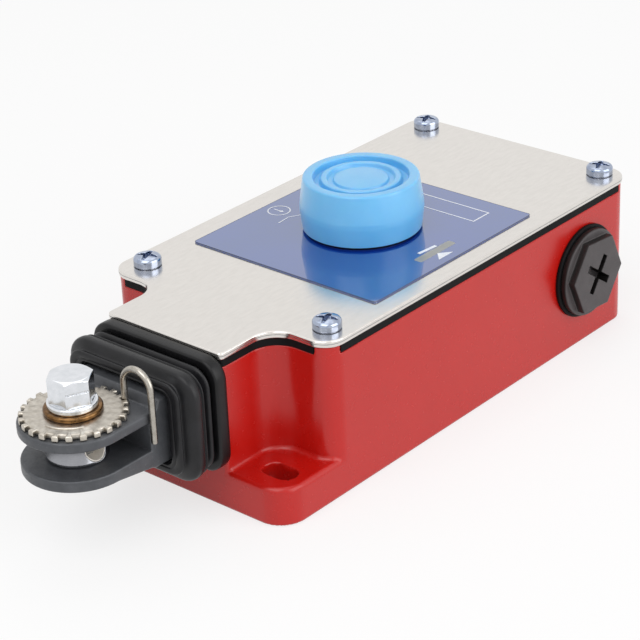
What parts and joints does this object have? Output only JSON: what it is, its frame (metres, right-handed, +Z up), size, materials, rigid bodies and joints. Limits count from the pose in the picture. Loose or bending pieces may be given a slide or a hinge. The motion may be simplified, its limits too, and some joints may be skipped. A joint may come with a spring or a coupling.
{
  "type": "rope pull switch",
  "caption": "Emergency-stop rope pull switch: red cast housing, steel cover, blue booted reset button, and a bellows-sealed rope fork with a tensioning drum.",
  "frame": {"origin": "centre of the housing's flat mounting face", "axes": "+X points away from the rope along the pull axis, +Z points up out of the cover, the visible cable entry is on -Y"},
  "size_m": [0.2089, 0.0912, 0.0636],
  "materials": {
    "red_enamel": "satin red enamel on die-cast zinc",
    "steel_cover": "fine brushed nickel finish",
    "bright_zinc": "bright zinc plating",
    "plain_steel": "satin steel",
    "wheel_nickel": "dull nickel",
    "spring_wire": "drawn wire",
    "black_rubber": "matt black",
    "blue_silicone": "soft satin sky blue",
    "fork_zinc": "dark grey coating, lightly speckled",
    "plug_plastic": "charcoal moulding",
    "black_plastic": "black moulding",
    "white_plastic": "natural white moulding",
    "contact_plastic": "dark grey moulding",
    "bronze": "oiled bronze",
    "brass": "bright brass",
    "blue_label": "glossy printed film",
    "clear_plastic": "clear polycarbonate"
  },
  "bodies": {
    "base": {"housing": "red_enamel", "cover_gasket": "black_rubber", "cover_plate": "steel_cover", "cover_screws": "bright_zinc", "label": "blue_label", "tension_window": "clear_plastic", "blanking_plugs": "plug_plastic", "plug_seals": "black_rubber", "bellows_frame": "black_rubber", "bellows": "black_rubber", "guide_bush": "bronze", "main_spring": "spring_wire", "button_barrel": "black_plastic", "barrel_nut": "bright_zinc", "reset_boot": "blue_silicone", "reset_spring": "spring_wire", "latch_brackets": "plain_steel", "bracket_screws": "bright_zinc", "latch_pin": "plain_steel", "latch_spring": "spring_wire", "contact_blocks": "contact_plastic", "contact_screws": "bright_zinc", "terminal_screws": "brass", "earth_screw": "brass"},
    "slider": {"fork": "fork_zinc", "pull_rod": "plain_steel", "fork_pin": "plain_steel", "spring_washer": "plain_steel", "rod_circlip": "plain_steel", "cam_carriage": "white_plastic", "rod_nuts": "bright_zinc", "tension_flag": "white_plastic"},
    "drum": {"spindle": "bright_zinc", "toothed_wheel": "wheel_nickel", "bronze_washer": "bronze", "spindle_circlip": "plain_steel"},
    "wire_clip": {"clip": "spring_wire"},
    "reset": {"reset_cap": "white_plastic", "reset_stem": "plain_steel"},
    "latch": {"reset_latch": "plain_steel"},
    "plungers": {"contact_plungers": "white_plastic"}
  },
  "joints": [
    {"name": "rope_pull", "type": "slide", "parent": "base", "child": "slider", "axis": [-1, 0, 0], "range_m": [0, 0.012], "stiffness_N_per_m": 4000, "springref_m": -0.01, "deforming": ["bellows", "main_spring"]},
    {"name": "drum_turn", "type": "hinge", "parent": "slider", "child": "drum", "pos_m": [-0.1137, 0, 0.03015], "axis": [0, 0, 1], "continuous": true},
    {"name": "clip_lift", "type": "slide", "parent": "slider", "child": "wire_clip", "axis": [0, 0, 1], "range_m": [0, 0.022]},
    {"name": "reset_press", "type": "slide", "parent": "base", "child": "reset", "axis": [0, 0, -1], "range_m": [0, 0.0035], "stiffness_N_per_m": 1500, "springref_m": -0.002, "deforming": ["reset_boot", "reset_spring"]},
    {"name": "latch_tilt", "type": "hinge", "parent": "base", "child": "latch", "pos_m": [0.0135, 0, 0.037], "axis": [0, -1, 0], "range_deg": [0, 18.5]},
    {"name": "plunger_push", "type": "slide", "parent": "base", "child": "plungers", "axis": [0, 0, -1], "range_m": [0, 0.0031]}
  ],
  "couplings": [
    {"joint": "latch_tilt", "follows": "reset_press", "rad_per_m": 90.909},
    {"joint": "plunger_push", "follows": "rope_pull", "ratio": 0.25}
  ]
}
